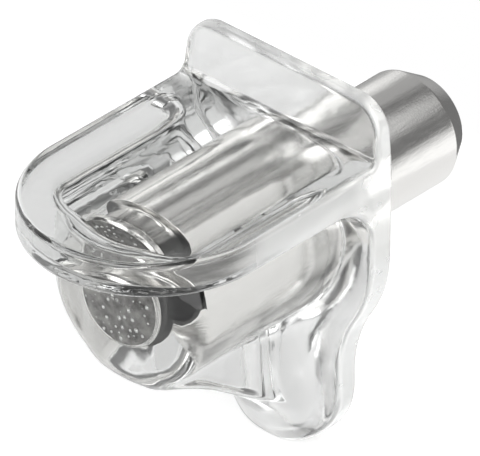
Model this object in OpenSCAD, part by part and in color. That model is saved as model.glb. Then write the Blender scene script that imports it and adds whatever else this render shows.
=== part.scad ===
// Shelf support pin: a clear moulded rest with a turned steel pin moulded into it.
// The origin lies on the pin's axis, in the rear face of the flange. +Y runs out
// along the free end of the pin, the shelf lies on the pad at -Y, and +Z is up.

/* [Steel pin] */
// Diameter of the pin, which fits the hole it plugs into
pin_d = 5; // [4.4:0.1:5.6]
// Length of pin that stands free behind the flange
pin_free = 7.9; // [5:0.1:12]
// Length of the lead-in taper at the pin's free end
taper_l = 1.1; // [0.3:0.1:1.5]
// Drop of the radius along that taper
taper_drop = 0.7; // [0.2:0.05:1]
// Diameter of the shank that lies in the moulding
shank_d = 4.6; // [4.2:0.1:4.6]
// Diameter of the head in front of the retaining groove
head_d = 4.2; // [3.8:0.1:4.6]
// Length of the shank that shows behind the flange, below the shoulder
shank_out = 0.15; // [0.1:0.05:0.3]
// Length of that head
head_l = 0.4; // [0.3:0.1:1.2]
// Length of the retaining groove
groove_l = 1.2; // [0.5:0.1:2]
// Depth of the recess round the pin in the flange's rear face
recess = 0.15; // [0.1:0.05:0.3]
// Diameter at the bottom of the groove
groove_d = 3.5; // [2.8:0.1:4]
// Bevel round the head's front edge
head_bevel = 0.15; // [0.1:0.05:0.25]
// Clearance between the pin and the moulding round it
pin_gap = 0.01; // [0.005:0.005:0.05]

/* [Pad] */
// Width of the pad that carries the shelf
pad_w = 10.6; // [10.4:0.1:12]
// Reach of the pad in front of the flange's rear face
pad_reach = 13.5; // [12.8:0.1:18]
// Thickness of the pad
pad_t = 1.55; // [1.2:0.05:2]
// Height of the bearing face above the pin's axis
pad_top = 4.1; // [4:0.05:4.8]
// Rounding along the pad's edges
pad_edge = 0.25; // [0.1:0.05:0.5]

/* [Flange] */
// Thickness of the flange behind the barrel
flange_t = 1.2; // [1:0.05:1.8]
// Width of the flange below the pad
flange_w = 10.5; // [9.8:0.1:10.5]
// Height of the shelf stop above the bearing face
stop_h = 2.5; // [1.9:0.05:4]
// Thickness of the shelf stop at the bearing face
stop_root_t = 0.9; // [0.7:0.05:1]
// Thickness of the shelf stop near its rounded top edge
stop_tip_t = 0.65; // [0.5:0.05:0.9]
// Width of the shelf stop below its rounded corners
stop_w = 10.3; // [9:0.1:10.4]
// Radius of the stop's two upper corners
stop_corner = 1.5; // [0.5:0.05:1.8]
// Radius between the bearing face and the stop
stop_fillet = 0.35; // [0.15:0.05:0.6]

/* [Leg] */
// Width of the leg
leg_w = 6.8; // [5:0.1:8]
// Depth of the leg's round end below the pin's axis
leg_drop = 10.65; // [9.5:0.05:13]
// Thickness of the leg's sides at its round end
leg_t = 0.8; // [0.6:0.05:1]
// Depth below the axis where the flange starts to narrow
waist_top = 0.3; // [0:0.1:0.6]
// Height of the double sweep that narrows the flange to the leg
waist_h = 6.4; // [4:0.1:6.6]

/* [Barrel] */
// Diameter of the barrel round the pin
barrel_d = 8; // [7.4:0.1:8]
// Reach of the barrel in front of the flange's rear face
barrel_reach = 10.1; // [9.5:0.1:10.8]
// Thickness of the moulding's skin over the pin's head
skin_t = 0.15; // [0.15:0.05:0.5]
// Rounding of the barrel's front edge
nose_r = 1; // [0.4:0.1:1.3]
// Radius of the sweep from the barrel's front up to the pad
bow_r = 1.95; // [1:0.05:2.3]
// Radius between the barrel and the flange
root_r = 1.3; // [0.6:0.1:1.6]
// Radius of the arch between the pad's underside and the flange
arch_r = 2; // [0.8:0.1:2.2]

/* [Web] */
// Thickness of the web under the barrel
web_t = 2.6; // [1.6:0.1:3.2]
// Radius of the web's chin under the barrel's front
chin_r = 1.5; // [1.2:0.1:2.2]
// Setback of the chin from the barrel's front
chin_back = 0.25; // [0.1:0.05:0.6]
// Distance of the web's bend in front of the flange's rear face
bend_y = 4.1; // [3.6:0.1:5.5]
// Depth of the web's bend below the pin's axis
bend_z = 6.6; // [5.8:0.1:7.2]
// Radius inside the web's bend
bend_r = 1.3; // [0.6:0.1:2.5]
// Radius of the web's rounded toe
toe_r = 0.7; // [0.6:0.05:1]
// Distance of the toe's centre in front of the flange's rear face
toe_y = 0.7; // [0.6:0.05:0.9]
// Height of the toe's centre above the leg's lowest point
toe_rise = 0.5; // [0.4:0.05:0.55]
// Radius between the web's sides and the leg
web_r = 2.4; // [1:0.1:2.6]

/* [Hidden] */
$fn = 96;
// Overlap of shapes that are joined, so that no two faces coincide by chance
lap = 0.02;
// Number of flats round the web's bend
bend_steps = 8;
pin_r = pin_d / 2;
shank_r = shank_d / 2;
barrel_r = barrel_d / 2;
pad_half = pad_w / 2;
flange_half = flange_w / 2;
pad_under = pad_top - pad_t;
// The pad's nose is a half circle about this distance in front of the rear face
nose_y = pad_reach - pad_half;
stop_top = pad_top + stop_h;
stop_side = pad_top + stop_h - stop_corner;
leg_half = leg_w / 2;
leg_round_z = leg_half - leg_drop;
// The double sweep is two equal arcs that meet on a common tangent
waist_in = flange_half - leg_half;
waist_turn = 2 * atan(waist_in / waist_h);
waist_r = waist_h / (2 * sin(waist_turn));
waist_end = -waist_top - waist_h;
waist_mid = -waist_top - waist_h / 2;
// The pin's head ends just behind the barrel's front face
head_front = barrel_reach - skin_t;
head_back = head_front - head_l;
groove_back = head_back - groove_l;
// Side view of the web as [distance ahead, z]: the circles that its edge runs on
bend = [bend_y, -bend_z];
chin_c = [barrel_reach - chin_back - chin_r, nose_r - barrel_r];
toe_c = [toe_y, toe_rise - leg_drop];

// Direction of the line from point p that touches circle (c, r) on its left or right
function touch_angle(p, c, r, side) =
    atan2(c[1] - p[1], c[0] - p[0]) + side * asin(r / norm(c - p));

// Point where that line touches the circle
function touch_point(p, c, r, side) =
    p + sqrt(pow(norm(c - p), 2) - r * r) * heading(touch_angle(p, c, r, side));

function heading(a) = [cos(a), sin(a)];

// Turns a profile drawn as [radius, distance ahead of the rear face] about the pin
module turn_about_pin() {
    rotate([90, 0, 0]) rotate_extrude() children();
}

// Extrudes a front view drawn as [x, z] between two distances ahead of the rear face
module forward(from, to) {
    translate([0, -from, 0]) rotate([90, 0, 0]) linear_extrude(to - from) children();
}

// Extrudes a side view drawn as [distance ahead, z] across a width, centred on x = 0
module across(width) {
    translate([-width / 2, 0, 0]) rotate([90, 0, 90]) linear_extrude(width)
        mirror([1, 0]) children();
}

// Draws its children twice, once mirrored in x
module both_sides() {
    children();
    mirror([1, 0]) children();
}

// Section of a concave fillet of radius r, in the corner of the positive quarter
module fillet_corner(r) {
    difference() {
        translate([-lap, -lap]) square(r + lap);
        translate([r, r]) circle(r);
    }
}

// Slab from x = 0 to w and y = 0 to h, its two edges at x = w rounded by r
module rounded_slab(w, h, r) {
    square([w - r, h]);
    translate([0, r]) square([w, h - 2 * r]);
    for (y = [r, h - r]) translate([w - r, y]) circle(r);
}

// Pin as [radius, distance ahead] with its shoulder at a given distance ahead, grown by
// a gap to give the cavity it sits in
module pin_profile(gap, shoulder) {
    r = pin_r + gap;
    inner_r = shank_r + gap;
    head_r = head_d / 2 + gap;
    front = head_front + gap;
    polygon([
        [0, -pin_free - gap],
        [r - taper_drop, -pin_free - gap],
        [r, taper_l - pin_free],
        [r, shoulder],
        [inner_r, shoulder],
        [inner_r, groove_back + gap],
        [groove_d / 2 + gap, groove_back + gap],
        [groove_d / 2 + gap, head_back - gap],
        [head_r, head_back - gap],
        [head_r, front - head_bevel],
        [head_r - head_bevel, front],
        [0, front]
    ]);
}

module pin() {
    color("silver") turn_about_pin() pin_profile(0, -shank_out);
}

// Front view of the flange: shelf stop, sides, double sweep and leg with a round end
module flange_outline() {
    translate([stop_corner - stop_w / 2, waist_mid])
        square([stop_w - 2 * stop_corner, stop_top - waist_mid]);
    both_sides() translate([stop_w / 2 - stop_corner, stop_side]) circle(stop_corner);
    both_sides() polygon([
        [0, stop_side],
        [stop_w / 2, stop_side],
        [flange_half, pad_top - pad_edge],
        [flange_half, -waist_top],
        [0, -waist_top]
    ]);
    both_sides() intersection() {
        translate([flange_half - waist_r, -waist_top]) circle(waist_r);
        translate([0, waist_mid]) square([pad_w, waist_h / 2 + lap]);
    }
    both_sides() difference() {
        translate([0, waist_end]) square([(flange_half + leg_half) / 2, waist_h / 2 + lap]);
        translate([leg_half + waist_r, waist_end]) circle(waist_r);
    }
    translate([-leg_half, leg_round_z]) square([leg_w, waist_end + lap - leg_round_z]);
    translate([0, leg_round_z]) circle(leg_half);
}

// Side view of the flange, which thins towards the stop's rounded top and the leg's end
module flange_section() {
    tip_r = stop_tip_t / 2;
    polygon([
        [0, -leg_drop - lap],
        [leg_t, -leg_drop - lap],
        [flange_t, -barrel_r],
        [flange_t, pad_under + lap],
        [stop_root_t, pad_under + lap],
        [stop_root_t, pad_top],
        [stop_tip_t, stop_top - tip_r],
        [0, stop_top - tip_r]
    ]);
    translate([tip_r, stop_top - tip_r]) circle(tip_r);
}

module flange() {
    intersection() {
        forward(0, flange_t) flange_outline();
        across(pad_w) flange_section();
    }
}

// Concave radii along the flange's front: under the stop, and the arch under the pad
module flange_fillets() {
    intersection() {
        forward(0, barrel_reach) flange_outline();
        across(pad_w) {
            translate([stop_root_t, pad_top]) fillet_corner(stop_fillet);
            translate([flange_t, pad_under]) mirror([0, 1]) fillet_corner(arch_r);
        }
    }
}

// Flat bearing pad with a half-round nose and rounded edges
module pad() {
    translate([0, 0, pad_under]) {
        forward(0, nose_y) both_sides() rounded_slab(pad_half, pad_t, pad_edge);
        translate([0, -nose_y, 0]) rotate_extrude() rounded_slab(pad_half, pad_t, pad_edge);
    }
}

// Round barrel, with the concave radius that spreads it into the flange
module barrel() {
    turn_about_pin() {
        square([barrel_r, barrel_reach - nose_r]);
        square([barrel_r - nose_r, barrel_reach]);
        translate([barrel_r - nose_r, barrel_reach - nose_r]) circle(nose_r);
    }
    intersection() {
        turn_about_pin() translate([barrel_r, flange_t]) fillet_corner(root_r);
        forward(0, barrel_reach) intersection() {
            flange_outline();
            translate([-pad_half, -pad_w]) square([pad_w, pad_w + pad_under + lap]);
        }
    }
}

// Trumpet-shaped sweep that carries the pad's nose on the barrel's front
module bow() {
    foot_r = barrel_reach - nose_y;
    translate([0, -nose_y, pad_under]) rotate_extrude() difference() {
        translate([0, -bow_r]) square([foot_r + bow_r, bow_r + lap]);
        translate([foot_r + bow_r, -bow_r]) circle(bow_r);
    }
}

// Side view of the web: from the chin to the rounded bend and round the toe
module web_section() {
    a1 = touch_angle(bend, chin_c, chin_r, -1);
    a2 = touch_angle(bend, toe_c, toe_r, 1);
    opening = (a1 - a2 + 360) % 360;
    centre = bend + bend_r / sin(opening / 2) * heading(a1 - opening / 2);
    turn = 180 - opening;
    polygon(concat(
        [[0, 0], chin_c, touch_point(bend, chin_c, chin_r, -1)],
        [for (i = [0:bend_steps]) centre + bend_r * heading(a1 + 90 + turn * i / bend_steps)],
        [touch_point(bend, toe_c, toe_r, 1), toe_c, [0, toe_c[1]]]
    ));
    translate(chin_c) circle(chin_r);
    intersection() {
        translate(toe_c) circle(toe_r);
        translate([0, -leg_drop - toe_r]) square([barrel_reach, leg_drop]);
    }
}

// Plan of the web, drawn as [x, distance ahead], spreading into the leg's front
module web_plan() {
    both_sides() {
        square([web_t / 2, barrel_reach]);
        square([web_t / 2 + web_r, leg_t + lap]);
        translate([web_t / 2, leg_t]) fillet_corner(web_r);
    }
}

module web() {
    intersection() {
        across(pad_w) web_section();
        forward(0, barrel_reach) flange_outline();
        translate([0, 0, -leg_drop]) linear_extrude(leg_drop) mirror([0, 1]) web_plan();
    }
}

// The clear moulding, with the cavity that the pin fills
module body() {
    color("gainsboro", 0.5) difference() {
        union() {
            flange();
            flange_fillets();
            pad();
            barrel();
            bow();
            web();
        }
        turn_about_pin() pin_profile(pin_gap, recess);
    }
}

body();
pin();
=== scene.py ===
"""Clear moulded shelf support with a turned steel pin, shown on a plain pale floor."""
import math

import bpy
import numpy as np
import openvdb
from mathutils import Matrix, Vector


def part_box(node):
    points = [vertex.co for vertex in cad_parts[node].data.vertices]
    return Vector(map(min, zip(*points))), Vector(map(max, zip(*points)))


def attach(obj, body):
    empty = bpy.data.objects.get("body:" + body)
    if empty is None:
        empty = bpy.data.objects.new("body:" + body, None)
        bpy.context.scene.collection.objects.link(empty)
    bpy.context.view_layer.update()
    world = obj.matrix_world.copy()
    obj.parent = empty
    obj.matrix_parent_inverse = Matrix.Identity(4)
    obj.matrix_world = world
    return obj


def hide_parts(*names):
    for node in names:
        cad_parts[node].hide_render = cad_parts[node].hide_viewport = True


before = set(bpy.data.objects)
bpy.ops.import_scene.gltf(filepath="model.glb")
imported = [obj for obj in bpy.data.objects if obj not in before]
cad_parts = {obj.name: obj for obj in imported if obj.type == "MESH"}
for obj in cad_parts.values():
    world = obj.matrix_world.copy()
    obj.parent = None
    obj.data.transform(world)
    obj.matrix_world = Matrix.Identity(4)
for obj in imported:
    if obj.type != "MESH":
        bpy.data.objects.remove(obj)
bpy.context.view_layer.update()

# ---------------------------------------------------------------- sizes, in millimetres
MM = 0.001
body_low, body_high = (np.array(corner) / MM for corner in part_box("body"))
pin_low, pin_high = (np.array(corner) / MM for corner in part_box("pin"))

# driving sizes, from the frame
PAD_HALF = body_high[0]
PAD_REACH = -body_low[1]
LEG_DROP = -body_low[2]
STOP_TOP = body_high[2]
HEAD_FRONT = -pin_low[1]
PIN_FREE = pin_high[1]
PIN_R = pin_high[0]

# pad
PAD_TOP = 4.1
PAD_UNDER = 2.55
NOSE_Y = PAD_REACH - PAD_HALF     # distance of the half-round nose's centre from the flange's back
EDGE_R = 0.27                     # rounded edges of pad, stop, flange and leg
BACK_R = 0.2                      # rounded edge round the flange's back

# flange and stop
FLANGE_HALF = 5.25
FLANGE_T = 1.2
FLANGE_STEP_H = 0.5               # height over which the flange thins, inside the pad
STOP_ROOT_T = 0.9
STOP_TIP_T = 0.65
STOP_HALF = 5.2
STOP_CORNER = 1.5
STOP_FILLET = 0.35
ARCH_R = 2.0
INNER_END = STOP_TIP_T / 2        # barrel and web end this far from the back, inside the flange

# leg, and the double sweep that leads to it
LEG_HALF = 3.4
LEG_T = 0.8
LEG_ROUND_Z = LEG_HALF - LEG_DROP
WAIST_TOP = -0.3
WAIST_H = 6.4
WAIST_IN = FLANGE_HALF - LEG_HALF
WAIST_R = WAIST_H / (2 * math.sin(2 * math.atan(WAIST_IN / WAIST_H)))

# barrel, and the bow that rises from its front
BARREL_R = 4.0
SKIN_T = 0.15                     # plastic over the pin's head
BARREL_REACH = HEAD_FRONT + SKIN_T
BARREL_NOSE_R = 1.0
BOW_R = 1.95
BOW_INSET = 0.02                  # how far the bow's front lies behind the barrel's
BOW_FOOT_Z = 0.4
ROOT_R = 1.3
SEAM_R = 0.9
ROOT_FROM = (-4.2, -2.4)          # the seam's radius grows to the root's between these

# web
WEB_HALF = 1.3
WEB_EDGE_R = 0.3
WEB_FOOT_EDGE_R = 1.0
WEB_FOOT_FROM = (6.5, 9.0)        # depths between which the web's edge radius grows to the foot's
WEB_LEG_R = 2.4
CHIN_R = 1.5
CHIN_BACK = 0.25
BEND = (4.1, -6.6)
BEND_R = 1.3
WEB_SLOPE = math.radians(25)
TOE_SLOPE = math.radians(49)
TOE_R = 0.7

# pin
SHANK_R = 2.3
SHANK_OUT = 0.15                  # how far the shank reaches past the flange's back
RECESS = 0.15                     # depth of the shallow recess round the pin
HEAD_R = 2.1
HEAD_L = 0.4
HEAD_BEVEL = 0.15
GROOVE_R = 1.75
GROOVE_L = 1.2
TAPER_L = 1.1
TAPER_DROP = 0.7
GRIP = 0.03                       # how far the cavity lies inside the steel, so that no air shows

# how far each corner of the pin's profile is rounded off
HEAD_SOFT = 0.03
GROOVE_SOFT = 0.3
SHANK_SOFT = 0.05
STEP_SOFT = 0.01
SHOULDER_SOFT = 0.04
TAPER_SOFT = 0.08
END_SOFT = 0.12

# bubbles in the skin over the head
BUBBLE_RIM = 0.1                  # bare rim inside the head's bevel
BUBBLE_FLATNESS = 0.6             # thickness of a bubble as a share of its width
BUBBLE_SIZES = {                  # in metres, the density to the square metre
    "Disc Radius": (HEAD_R - HEAD_BEVEL - BUBBLE_RIM) * MM,
    "Spacing": 0.24 * MM,
    "Density": 10 / MM**2,
    "Smallest": 0.025 * MM,
    "Largest": 0.11 * MM,
}
PLACE_SEED = 7
SIZE_SEED = 3

# meshing
VOXEL = 0.06
MARGIN = 3                        # empty cells kept round the moulding
FLATNESS = 0.004                  # how readily flat parts of the moulding get larger faces
SETTLING = 4                      # times that the points are drawn onto the surface
LEAST_SLOPE = 0.25                # keeps a point near a crease from jumping
SLOPE_STEP = 0.02                 # distance over which a field's slope is taken
TINY = 1e-6                       # keeps a point with no slope from dividing by nothing
PIN_FACETS = 192
SHARP_ANGLE = 30                  # degrees

# ---------------------------------------------------------------- where each finish, and the groove's painted shade, lies
FLANK_RIM = (-EDGE_R, -0.05)      # the matt side wall begins between these, outwards
FLANK_FADE = (-9.5, -7.0)         # and between these, from the nose backwards
RIGHT_SIDE = (-1, 0)              # on the right, from about the middle
STOP_FADE = (PAD_TOP, PAD_TOP + 1)  # and all round the stop, above the pad
WALL_ROUGHNESS = 0.25
WALL_CLEAR = 0.62
SEAT_FADE = (-0.1, -0.01)         # the part matt seat begins between these, backwards
SEAT_RIM = (0.05, 0.3)            # and between these, inwards from the outline
SEAT_ROUGHNESS = 0.1
SAWN_DEPTH = 0.01                 # the head's front is sawn this far back
PAINTED_SHADE_LENGTH = (HEAD_L - 0.01, HEAD_L + GROOVE_L + 0.02)  # where the groove's painted shade lies, from the front
PAINTED_SHADE_HEIGHTS = (0.9 * MM, 1.3 * MM)  # heights between which the groove turns from painted shade to a painted highlight

# ---------------------------------------------------------------- studio
PANELS = [                        # azimuth, elevation, inner and outer angle in degrees, level
    (50, 10, 46, 54, 2.1),
    (266, 20, 12, 41, 1.7),
    (232, 18, 37, 47, 0.2),
    (326, 23, 14, 24, 2.9),
    (118, 59, 24, 32, 0.45),
    (136, -22, 12, 32, 0.9),
]
WALL_LIGHT = 0.17
HORIZON = (-0.2, 0.1)             # heights between which the white below gives way to the studio
FLOOR_GLOW = 0.12
FLOOR_WHITE = 0.28                # added for the camera alone, so that the floor is plain white
FLOOR_SIDE = 70                   # millimetres, as is the next
FLOOR_BEHIND = 20.5
KEY_FROM = (58, 38)               # azimuth and elevation of the lamp in degrees
KEY_AWAY = 0.5                    # metres, as is the next
KEY_SIZE = 0.3
KEY_POWER = 0.25                  # watts
VIEW_FROM = (43.0, 33.2)          # azimuth and elevation of the camera in degrees
VIEW_CENTRE = (-1.08, -1.96, -1.06)
VIEW_WIDTH = 18.9
VIEW_AWAY = 0.6                   # metres: far enough off to show next to no perspective
VIEW_CLIP = (0.05, 5)             # metres
SENSOR = 36

WHITE = (1, 1, 1, 1)
WHOLE = (0, 1)
NOISE_SPAN = (0.3, 0.7)           # where nearly all the values of a noise lie


# ---------------------------------------------------------------- distance fields
def fused(a, b, r):
    """Union of two distance fields, with a concave radius where they meet."""
    return np.maximum(r, np.minimum(a, b)) - np.hypot(np.maximum(r - a, 0), np.maximum(r - b, 0))


def trimmed(a, b, r):
    """What two distance fields have in common, with a rounded edge where they cross."""
    return -fused(-a, -b, r)


def eased(value, low, high):
    """Runs smoothly from 0 at low to 1 at high."""
    t = np.clip((value - low) / (high - low), 0, 1)
    return t * t * (3 - 2 * t)


def flange_outline(x, z):
    """Front view of the flange: stop with rounded corners, double sweep, leg with a round end."""
    upper = np.interp(
        z,
        [WAIST_TOP, PAD_UNDER, PAD_TOP - EDGE_R, STOP_TOP - STOP_CORNER],
        [FLANGE_HALF, PAD_HALF, PAD_HALF, STOP_HALF],
    )
    below = np.clip(WAIST_TOP - z, 0, WAIST_H / 2)
    above = np.clip(z - (WAIST_TOP - WAIST_H), 0, WAIST_H / 2)
    out_sweep = WAIST_R - np.sqrt(WAIST_R**2 - below**2)
    in_sweep = LEG_HALF + WAIST_R - np.sqrt(WAIST_R**2 - above**2)
    in_upper_half = z > WAIST_TOP - WAIST_H / 2
    half = np.where(in_upper_half, upper - out_sweep, in_sweep)
    lean = np.where(in_upper_half, below, above) / WAIST_R
    side = (np.abs(x) - half) * np.sqrt(1 - lean**2)
    boxed = trimmed(side, z - STOP_TOP, STOP_CORNER)
    end = np.hypot(x, z - LEG_ROUND_Z) - LEG_HALF
    return np.where(z > LEG_ROUND_Z, boxed, end)


def pad_plan(x, y):
    """Plan of the pad: straight sides and a half-round nose."""
    return np.where(y > -NOSE_Y, np.abs(x) - PAD_HALF, np.hypot(x, y + NOSE_Y) - PAD_HALF)


def flange_front(y, z):
    """Front face of the flange: stout beside the barrel, thinner in the stop and down the leg."""
    thickness = np.interp(
        z,
        [-LEG_DROP, -BARREL_R, PAD_UNDER, PAD_UNDER + FLANGE_STEP_H, PAD_TOP, STOP_TOP],
        [LEG_T, FLANGE_T, FLANGE_T, STOP_ROOT_T, STOP_ROOT_T, STOP_TIP_T],
    )
    return -y - thickness


def bow(x, y, z):
    """Upright stem at the barrel's front, which sweeps out into the pad's nose."""
    stem = np.hypot(x, y + NOSE_Y) - (BARREL_REACH - NOSE_Y) + BOW_INSET
    return np.maximum(stem, BOW_FOOT_Z - z)


def barrel(x, y, z):
    """Round barrel about the pin, with a rounded front edge."""
    rounded = trimmed(np.hypot(x, z) - BARREL_R, -y - BARREL_REACH, BARREL_NOSE_R)
    return np.maximum(rounded, y + INNER_END)


def web(x, y, z):
    """Upright web under the barrel: chin, bend and toe in the side view, rounded along its edge."""
    ahead = -y - BEND[0]
    up = z - BEND[1]
    under = ahead * math.sin(WEB_SLOPE) - up * math.cos(WEB_SLOPE)
    front = ahead * math.sin(TOE_SLOPE) - up * math.cos(TOE_SLOPE)
    section = fused(under, front, BEND_R)
    section = trimmed(section, -y - BARREL_REACH + CHIN_BACK, CHIN_R)
    section = trimmed(section, -LEG_DROP - z, TOE_R)
    section = np.maximum(np.maximum(section, z), y + INNER_END)
    edge = WEB_EDGE_R + (WEB_FOOT_EDGE_R - WEB_EDGE_R) * eased(-z, *WEB_FOOT_FROM)
    return trimmed(section, np.abs(x) - WEB_HALF, edge)


def cavity(x, y, z):
    """The space that the pin fills, drawn a hair inside the steel."""
    radius = np.hypot(x, z) + GRIP
    ahead = GRIP - y
    head_back = HEAD_FRONT - HEAD_L
    shank = np.maximum(radius - SHANK_R, ahead - (head_back - GROOVE_L))
    neck = np.maximum(radius - GROOVE_R, ahead - HEAD_FRONT)
    head = np.maximum(radius - HEAD_R, np.maximum(ahead - HEAD_FRONT, head_back + GRIP + y))
    bevel = (radius - HEAD_R + HEAD_BEVEL + ahead - HEAD_FRONT) * math.sqrt(0.5)
    mouth = np.maximum(radius - PIN_R - 2 * GRIP, -y - RECESS)
    return np.minimum(np.minimum(np.minimum(shank, neck), mouth), np.maximum(head, bevel))


def moulding(x, y, z):
    """The whole clear moulding, in millimetres, negative inside."""
    front = flange_front(y, z)
    shape = fused(PAD_UNDER - z, front, ARCH_R)
    shape = fused(shape, bow(x, y, z), BOW_R)
    shape = np.minimum(shape, fused(front, web(x, y, z), WEB_LEG_R))
    shape = fused(shape, barrel(x, y, z), SEAM_R + (ROOT_R - SEAM_R) * eased(y, *ROOT_FROM))
    over = fused(z - PAD_TOP, front, STOP_FILLET)
    sides = np.maximum(pad_plan(x, y), flange_outline(x, z))
    shape = trimmed(shape, trimmed(sides, over, EDGE_R), EDGE_R)
    shape = trimmed(shape, y, BACK_R)
    return np.maximum(shape, -cavity(x, y, z))


# ---------------------------------------------------------------- meshes and pieces
def new_mesh(name, verts, faces):
    """Mesh from points in metres and faces that list them."""
    mesh = bpy.data.meshes.new(name)
    mesh.from_pydata(verts, [], faces)
    mesh.update()
    return mesh


def mesh_places(mesh):
    """Every point of a mesh, in millimetres."""
    return np.array([vert.co for vert in mesh.vertices]) / MM


def add_object(name, data):
    """Puts a mesh, a lamp or a camera in the scene."""
    thing = bpy.data.objects.new(name, data)
    bpy.context.scene.collection.objects.link(thing)
    return thing


def shade_smooth(mesh):
    """Shades every face of a mesh smoothly."""
    mesh.polygons.foreach_set("use_smooth", [True] * len(mesh.polygons))


def add_piece(name, mesh, material, node):
    """Puts a finished mesh in the scene in place of a CAD node."""
    piece = add_object(name, mesh)
    mesh.materials.append(material)
    shade_smooth(mesh)
    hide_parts(node)
    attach(piece, "root")


def field_slopes(field, points):
    """Gradient of a distance field at each point, by central differences."""
    columns = []
    for axis in range(3):
        ahead, behind = points.copy(), points.copy()
        ahead[:, axis] += SLOPE_STEP
        behind[:, axis] -= SLOPE_STEP
        columns.append((field(*ahead.T) - field(*behind.T)) / (2 * SLOPE_STEP))
    return np.stack(columns, axis=1)


def field_mesh(name, field, low, high):
    """Closed mesh on a distance field's zero surface, its points drawn onto the surface."""
    low = np.asarray(low) - MARGIN * VOXEL
    counts = np.ceil((np.asarray(high) + MARGIN * VOXEL - low) / VOXEL).astype(int)
    axes = [low[i] + VOXEL * np.arange(counts[i]) for i in range(3)]
    values = field(*np.meshgrid(*axes, indexing="ij", sparse=True)).astype(np.float32)
    grid = openvdb.FloatGrid()
    grid.copyFromArray(np.ascontiguousarray(values))
    points, triangles, quads = grid.convertToPolygons(isovalue=0.0, adaptivity=FLATNESS)
    points = np.asarray(points, float) * VOXEL + low
    for _ in range(SETTLING):
        slope = field_slopes(field, points)
        reach = np.clip(field(*points.T), -VOXEL / 2, VOXEL / 2)
        points -= slope * (reach / np.maximum((slope**2).sum(1), LEAST_SLOPE))[:, None]
    return new_mesh(name, (points * MM).tolist(), triangles.tolist() + quads.tolist())


def shade_by_field(mesh, field):
    """Takes a mesh's shading from its distance field, so that its facets don't show."""
    slopes = field_slopes(field, mesh_places(mesh))
    slopes /= np.maximum(np.linalg.norm(slopes, axis=1), TINY)[:, None]
    mesh.normals_split_custom_set_from_vertices(slopes.tolist())


def keep_value(mesh, name, values):
    """Keeps a plain value for each point of a mesh, for its material to read."""
    mesh.attributes.new(name, "FLOAT", "POINT").data.foreach_set("value", values)


def mark_matt_faces(mesh):
    """Keeps how matt the moulding is: its right flank, round the stop, and its seat."""
    x, y, z = mesh_places(mesh).T
    outside = np.maximum(pad_plan(x, y), flange_outline(x, z))
    wall = eased(outside, *FLANK_RIM) * eased(y, *FLANK_FADE)
    wall *= np.maximum(eased(x, *RIGHT_SIDE), eased(z, *STOP_FADE))
    keep_value(mesh, "matt_wall", wall)
    keep_value(mesh, "matt_seat", eased(y, *SEAT_FADE) * eased(-outside, *SEAT_RIM))


def make_moulding():
    """The clear moulding."""
    mesh = field_mesh("clear_moulding", moulding, body_low, body_high)
    add_piece("clear_moulding", mesh, clear_plastic(), "body")
    shade_by_field(mesh, moulding)
    mark_matt_faces(mesh)


# ---------------------------------------------------------------- steel pin
def softened(corners, steps=6):
    """Profile through (radius, y, softness) corners, each rounded off within its softness."""
    points = [corners[0][:2]]
    for before, corner, after in zip(corners, corners[1:], corners[2:]):
        here = Vector(corner[:2])
        start = here + (Vector(before[:2]) - here).normalized() * corner[2]
        end = here + (Vector(after[:2]) - here).normalized() * corner[2]
        for t in np.linspace(0, 1, steps + 1):
            points.append(tuple((1 - t) ** 2 * start + 2 * t * (1 - t) * here + t**2 * end))
    return points + [corners[-1][:2]]


def pin_profile():
    """Half section of the pin, from the centre of its head to the centre of its free end."""
    front = -HEAD_FRONT
    head_back = front + HEAD_L
    groove_back = head_back + GROOVE_L
    return softened([
        (0, front, 0),
        (HEAD_R - HEAD_BEVEL, front, HEAD_SOFT),
        (HEAD_R, front + HEAD_BEVEL, HEAD_SOFT),
        (HEAD_R, head_back, HEAD_SOFT),
        (GROOVE_R, head_back, GROOVE_SOFT),
        (GROOVE_R, groove_back, GROOVE_SOFT),
        (SHANK_R, groove_back, SHANK_SOFT),
        (SHANK_R, SHANK_OUT, STEP_SOFT),
        (PIN_R, SHANK_OUT, SHOULDER_SOFT),
        (PIN_R, PIN_FREE - TAPER_L, TAPER_SOFT),
        (PIN_R - TAPER_DROP, PIN_FREE, END_SOFT),
        (0, PIN_FREE, 0),
    ])


def turned_mesh(name, profile, facets):
    """Closed mesh of a profile turned about the Y axis."""
    rings = [(r, y) for r, y in profile if r > 0]
    angles = 2 * math.pi * np.arange(facets) / facets
    verts = [(r * math.cos(a) * MM, y * MM, r * math.sin(a) * MM) for r, y in rings for a in angles]
    verts += [(0, profile[0][1] * MM, 0), (0, profile[-1][1] * MM, 0)]
    first_centre, last_centre = len(verts) - 2, len(verts) - 1
    last = (len(rings) - 1) * facets
    faces = []
    for here in range(0, last, facets):
        there = here + facets
        for i in range(facets):
            j = (i + 1) % facets
            faces.append((here + i, there + i, there + j, here + j))
    for i in range(facets):
        j = (i + 1) % facets
        faces.append((first_centre, i, j))
        faces.append((last + i, last_centre, last + j))
    return new_mesh(name, verts, faces)


def make_pin():
    """The turned pin: plated all over, but sawn at the front of its head, with painted shade and a
    painted highlight in its groove.
    """
    mesh = turned_mesh("steel_pin", pin_profile(), PIN_FACETS)
    add_piece("steel_pin", mesh, plated_steel(), "pin")
    mesh.set_sharp_from_angle(angle=math.radians(SHARP_ANGLE))
    mesh.materials.append(sawn_steel())
    mesh.materials.append(painted_shade_steel())
    # the groove's faces take the painted shade material: dark round the sides and below, with a
    # painted highlight along the top
    sawn, painted_shade = 1, 2
    shade_start, shade_end = PAINTED_SHADE_LENGTH
    for face in mesh.polygons:
        behind_front = face.center.y / MM + HEAD_FRONT
        if behind_front < SAWN_DEPTH:
            face.material_index = sawn
        elif shade_start < behind_front < shade_end:
            face.material_index = painted_shade


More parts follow.
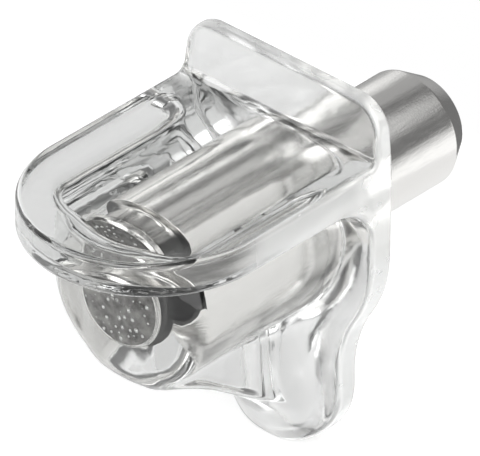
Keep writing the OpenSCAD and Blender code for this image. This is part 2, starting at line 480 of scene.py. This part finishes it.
# ---------------------------------------------------------------- bubbles over the head
def bubble_tree(material):
    """Scatters small spheres over a disc; every size is an input."""
    tree = bpy.data.node_groups.new("bubble_scatter", "GeometryNodeTree")
    face = tree.interface
    face.new_socket("Geometry", in_out="INPUT", socket_type="NodeSocketGeometry")
    for name in BUBBLE_SIZES:
        face.new_socket(name, in_out="INPUT", socket_type="NodeSocketFloat")
    face.new_socket("Geometry", in_out="OUTPUT", socket_type="NodeSocketGeometry")
    given = tree.nodes.new("NodeGroupInput")
    result = tree.nodes.new("NodeGroupOutput")
    disc = tree.nodes.new("GeometryNodeMeshCircle")
    disc.fill_type = "NGON"
    scatter = tree.nodes.new("GeometryNodeDistributePointsOnFaces")
    scatter.distribute_method = "POISSON"
    scatter.inputs["Seed"].default_value = PLACE_SEED
    ball = tree.nodes.new("GeometryNodeMeshIcoSphere")
    set_plain(ball, {"Subdivisions": 2, "Radius": 1.0})
    size = tree.nodes.new("FunctionNodeRandomValue")
    size.inputs["Seed"].default_value = SIZE_SEED
    least, most, number = size.inputs[2], size.inputs[3], size.outputs[1]
    place = tree.nodes.new("GeometryNodeInstanceOnPoints")
    real = tree.nodes.new("GeometryNodeRealizeInstances")
    paint = tree.nodes.new("GeometryNodeSetMaterial")
    paint.inputs["Material"].default_value = material
    link = tree.links.new
    link(given.outputs["Disc Radius"], disc.inputs["Radius"])
    link(disc.outputs["Mesh"], scatter.inputs["Mesh"])
    link(given.outputs["Spacing"], scatter.inputs["Distance Min"])
    link(given.outputs["Density"], scatter.inputs["Density Max"])
    link(given.outputs["Smallest"], least)
    link(given.outputs["Largest"], most)
    link(scatter.outputs["Points"], place.inputs["Points"])
    link(ball.outputs["Mesh"], place.inputs["Instance"])
    link(number, place.inputs["Scale"])
    link(place.outputs["Instances"], real.inputs["Geometry"])
    link(real.outputs["Geometry"], paint.inputs["Geometry"])
    link(paint.outputs["Geometry"], result.inputs["Geometry"])
    return tree


def scattered_mesh(name, tree, sizes):
    """Plain mesh of what a scatter tree makes with these sizes."""
    carrier = add_object("carrier", bpy.data.meshes.new("carrier"))
    modifier = carrier.modifiers.new(name, "NODES")
    modifier.node_group = tree
    for item in tree.interface.items_tree:
        if item.in_out == "INPUT" and item.name in sizes:
            modifier[item.identifier] = sizes[item.name]
    seen = carrier.evaluated_get(bpy.context.evaluated_depsgraph_get())
    mesh = bpy.data.meshes.new_from_object(seen)
    bpy.data.objects.remove(carrier)
    mesh.name = name
    return mesh


def make_bubbles():
    """Flattened bubbles that lie in the skin over the pin's head."""
    mesh = scattered_mesh("bubbles", bubble_tree(trapped_air()), BUBBLE_SIZES)
    for vert in mesh.vertices:
        x, y, z = vert.co
        vert.co = (x, z * BUBBLE_FLATNESS - (HEAD_FRONT + SKIN_T / 2) * MM, y)
    mesh.flip_normals()
    shade_smooth(mesh)
    mesh.update()
    bubbles = add_object("bubbles", mesh)
    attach(bubbles, "root")


# ---------------------------------------------------------------- parts of a material
def new_material(name):
    """A material, its node tree and its main shader."""
    material = bpy.data.materials.new(name)
    material.use_nodes = True
    tree = material.node_tree
    return material, tree, tree.nodes["Principled BSDF"]


def set_plain(node, values):
    """Sets plain numbers and colours on a node's own sockets."""
    for name, value in values.items():
        node.inputs[name].default_value = value


def object_place(tree):
    """Place on the piece, in metres."""
    return tree.nodes.new("ShaderNodeTexCoord").outputs["Object"]


def noise(tree, scale, stretch=(1, 1, 1), detail=2.0):
    """Noise on the piece; scale is in cells to the metre before the stretch."""
    mapping = tree.nodes.new("ShaderNodeMapping")
    set_plain(mapping, {"Scale": stretch})
    cells = tree.nodes.new("ShaderNodeTexNoise")
    set_plain(cells, {"Scale": scale, "Detail": detail})
    tree.links.new(object_place(tree), mapping.inputs["Vector"])
    tree.links.new(mapping.outputs["Vector"], cells.inputs["Vector"])
    return cells.outputs["Fac"]


def kept_value(tree, name):
    """Plain value that the mesh keeps under a name."""
    node = tree.nodes.new("ShaderNodeAttribute")
    node.attribute_name = name
    return node.outputs["Fac"]


def ramp(tree, value, to, over=NOISE_SPAN):
    """Turns one range of plain numbers into another."""
    node = tree.nodes.new("ShaderNodeMapRange")
    set_plain(node, {"From Min": over[0], "From Max": over[1], "To Min": to[0], "To Max": to[1]})
    tree.links.new(value, node.inputs["Value"])
    return node.outputs["Result"]


def combined(tree, values, operation="ADD"):
    """Several plain values added up, or multiplied."""
    result = values[0]
    for value in values[1:]:
        node = tree.nodes.new("ShaderNodeMath")
        node.operation = operation
        tree.links.new(result, node.inputs[0])
        tree.links.new(value, node.inputs[1])
        result = node.outputs["Value"]
    return result


def blend(tree, value, low_colour, high_colour):
    """Colour that runs from one to another with a plain value."""
    mix = tree.nodes.new("ShaderNodeMix")
    mix.data_type = "RGBA"
    set_plain(mix, {"A": low_colour, "B": high_colour})
    tree.links.new(value, mix.inputs["Factor"])
    return mix.outputs["Result"]


def bump(tree, height, distance, under=None):
    """Relief of a height in metres, on top of another relief where there is one."""
    node = tree.nodes.new("ShaderNodeBump")
    set_plain(node, {"Strength": 1.0, "Distance": distance})
    tree.links.new(height, node.inputs["Height"])
    if under is not None:
        tree.links.new(under, node.inputs["Normal"])
    return node.outputs["Normal"]


# ---------------------------------------------------------------- materials
def clear_plastic():
    """Clear polycarbonate, faintly wavy as its polished mould, with part matt faces."""
    material, tree, shader = new_material("clear_plastic")
    set_plain(shader, {"Base Color": (0.965, 0.97, 0.965, 1), "IOR": 1.585})
    matt_wall = kept_value(tree, "matt_wall")
    clear = ramp(tree, matt_wall, to=(1, WALL_CLEAR), over=WHOLE)
    tree.links.new(clear, shader.inputs["Transmission Weight"])
    wall = ramp(tree, matt_wall, to=(0, WALL_ROUGHNESS), over=WHOLE)
    seat = ramp(tree, kept_value(tree, "matt_seat"), to=(0, SEAT_ROUGHNESS), over=WHOLE)
    polish = ramp(tree, noise(tree, scale=900), to=(0.005, 0.03))
    tree.links.new(combined(tree, [wall, seat, polish]), shader.inputs["Roughness"])
    waves = bump(tree, noise(tree, scale=700), distance=0.00002)
    tree.links.new(waves, shader.inputs["Normal"])
    depth = tree.nodes.new("ShaderNodeVolumeAbsorption")
    set_plain(depth, {"Color": (0.8, 0.805, 0.8, 1), "Density": 80})
    tree.links.new(depth.outputs["Volume"], tree.nodes["Material Output"].inputs["Volume"])
    return material


def plated_steel():
    """Nickel-plated drawn steel: fine scratches along the pin, and small pits."""
    material, tree, shader = new_material("plated_steel")
    set_plain(shader, {"Base Color": (0.93, 0.92, 0.9, 1), "Metallic": 1.0})
    scratches = noise(tree, scale=9000, stretch=(1, 0.15, 1), detail=5)
    pits = noise(tree, scale=11000, detail=3)
    tree.links.new(ramp(tree, scratches, to=(0.12, 0.24)), shader.inputs["Roughness"])
    lines = bump(tree, scratches, distance=0.000005)
    pitted = bump(tree, pits, distance=0.0000025, under=lines)
    tree.links.new(pitted, shader.inputs["Normal"])
    return material


def sawn_steel():
    """Grey stained end face of the head, rough as it left the parting tool."""
    material, tree, shader = new_material("sawn_steel")
    grain = noise(tree, scale=6000, detail=6)
    stain = ramp(tree, noise(tree, scale=1800, detail=5), to=WHOLE, over=(0.35, 0.65))
    tint = blend(tree, stain, (0.14, 0.135, 0.13, 1), (0.42, 0.415, 0.4, 1))
    set_plain(shader, {"Metallic": 0.7})
    tree.links.new(tint, shader.inputs["Base Color"])
    tree.links.new(ramp(tree, grain, to=(0.45, 0.75)), shader.inputs["Roughness"])
    tree.links.new(bump(tree, grain, distance=0.00003), shader.inputs["Normal"])
    return material


def painted_shade_steel():
    """Painted shade in the undercut behind the head, with a painted highlight along its top: the
    colour runs from dark to bright with height.
    """
    material, tree, shader = new_material("painted_shade_steel")
    grain = noise(tree, scale=5000, detail=4)
    place = tree.nodes.new("ShaderNodeSeparateXYZ")
    tree.links.new(object_place(tree), place.inputs["Vector"])
    # painted highlight along the top and painted shade round the sides and below, set by height
    # alone
    painted_highlight = ramp(tree, place.outputs["Z"], to=WHOLE, over=PAINTED_SHADE_HEIGHTS)
    tint = blend(tree, painted_highlight, (0.05, 0.05, 0.048, 1), (0.7, 0.69, 0.67, 1))
    set_plain(shader, {"Metallic": 0.9})
    tree.links.new(tint, shader.inputs["Base Color"])
    tree.links.new(ramp(tree, grain, to=(0.14, 0.24)), shader.inputs["Roughness"])
    tree.links.new(bump(tree, grain, distance=0.000003), shader.inputs["Normal"])
    return material


def trapped_air():
    """Air enclosed in the plastic: its wall throws back much of the light, like a silver bead."""
    material, tree, shader = new_material("trapped_air")
    set_plain(shader, {"Base Color": (0.97, 0.97, 0.96, 1), "Metallic": 0.5})
    wall = noise(tree, scale=20000)
    tree.links.new(ramp(tree, wall, to=(0.1, 0.3)), shader.inputs["Roughness"])
    return material


def floor_paint():
    """Pale matt floor, lifted to plain white for the camera."""
    material, tree, shader = new_material("floor_paint")
    set_plain(shader, {"Base Color": (0.8, 0.8, 0.8, 1), "Emission Color": WHITE})
    mottle = noise(tree, scale=60)
    tree.links.new(ramp(tree, mottle, to=(0.7, 0.8)), shader.inputs["Roughness"])
    path = tree.nodes.new("ShaderNodeLightPath")
    camera = path.outputs["Is Camera Ray"]
    seen = [camera, path.outputs["Is Glossy Ray"], path.outputs["Is Transmission Ray"]]
    glow = ramp(tree, combined(tree, seen), to=(0, FLOOR_GLOW), over=WHOLE)
    lift = ramp(tree, camera, to=(0, FLOOR_WHITE), over=WHOLE)
    tree.links.new(combined(tree, [glow, lift]), shader.inputs["Emission Strength"])
    return material


# ---------------------------------------------------------------- stage, light and camera
def make_floor():
    """Plain floor under the leg's end."""
    side, behind, z = FLOOR_SIDE * MM, FLOOR_BEHIND * MM, -LEG_DROP * MM
    corners = [(-side, -side, z), (side, -side, z), (side, behind, z), (-side, behind, z)]
    mesh = new_mesh("floor", corners, [(0, 1, 2, 3)])
    mesh.materials.append(floor_paint())
    floor = add_object("floor", mesh)


def bearing(azimuth, elevation):
    """Unit vector by degrees: azimuth runs from -Y, the object's front, round towards +X."""
    azimuth, elevation = math.radians(azimuth), math.radians(elevation)
    flat = math.cos(elevation)
    return Vector((flat * math.sin(azimuth), -flat * math.cos(azimuth), math.sin(elevation)))


def panel(tree, ray, azimuth, elevation, inner, outer, level):
    """Soft round panel of light: full within the inner angle, none past the outer."""
    dot = tree.nodes.new("ShaderNodeVectorMath")
    dot.operation = "DOT_PRODUCT"
    dot.inputs[1].default_value = bearing(azimuth, elevation)
    tree.links.new(ray, dot.inputs[0])
    edge, core = math.cos(math.radians(outer)), math.cos(math.radians(inner))
    return ramp(tree, dot.outputs["Value"], to=(0, level), over=(edge, core))


def make_world():
    """White to the camera, and below the horizon through glass; else a grey studio with panels."""
    world = bpy.data.worlds.new("studio")
    bpy.context.scene.world = world
    world.use_nodes = True
    tree = world.node_tree
    tree.nodes.clear()
    ray = tree.nodes.new("ShaderNodeTexCoord").outputs["Generated"]
    walls = tree.nodes.new("ShaderNodeValue").outputs["Value"]
    walls.default_value = WALL_LIGHT
    light = combined(tree, [walls] + [panel(tree, ray, *sizes) for sizes in PANELS])
    room = tree.nodes.new("ShaderNodeBackground")
    tree.links.new(light, room.inputs["Color"])
    white = tree.nodes.new("ShaderNodeBackground")
    set_plain(white, {"Color": WHITE})
    height = tree.nodes.new("ShaderNodeSeparateXYZ")
    tree.links.new(ray, height.inputs["Vector"])
    below = ramp(tree, height.outputs["Z"], to=(1, 0), over=HORIZON)
    path = tree.nodes.new("ShaderNodeLightPath")
    through = combined(tree, [below, path.outputs["Is Transmission Ray"]], "MULTIPLY")
    sees_white = combined(tree, [through, path.outputs["Is Camera Ray"]])
    mix = tree.nodes.new("ShaderNodeMixShader")
    tree.links.new(sees_white, mix.inputs["Fac"])
    tree.links.new(room.outputs["Background"], mix.inputs[1])
    tree.links.new(white.outputs["Background"], mix.inputs[2])
    output = tree.nodes.new("ShaderNodeOutputWorld")
    tree.links.new(mix.outputs["Shader"], output.inputs["Surface"])


def make_key_light():
    """One weak soft lamp, which gives the part a faint shadow on the floor."""
    data = bpy.data.lights.new("key", "AREA")
    data.shape = "RECTANGLE"
    data.size, data.size_y = KEY_SIZE, KEY_SIZE
    data.energy = KEY_POWER
    lamp = add_object("key", data)
    lamp.location = bearing(*KEY_FROM) * KEY_AWAY
    lamp.rotation_euler = (-lamp.location).to_track_quat("-Z", "Y").to_euler()


def make_camera():
    """Long lens."""
    data = bpy.data.cameras.new("camera")
    data.sensor_width = SENSOR
    data.lens = SENSOR * VIEW_AWAY / (VIEW_WIDTH * MM)
    data.clip_start, data.clip_end = VIEW_CLIP
    camera = add_object("camera", data)
    back = bearing(*VIEW_FROM)
    camera.location = Vector(VIEW_CENTRE) * MM + back * VIEW_AWAY
    camera.rotation_euler = (-back).to_track_quat("-Z", "Y").to_euler()
    bpy.context.scene.camera = camera


make_moulding()
make_pin()
make_bubbles()
make_floor()
make_world()
make_key_light()
make_camera()
bpy.context.scene.view_settings.view_transform = "Standard"
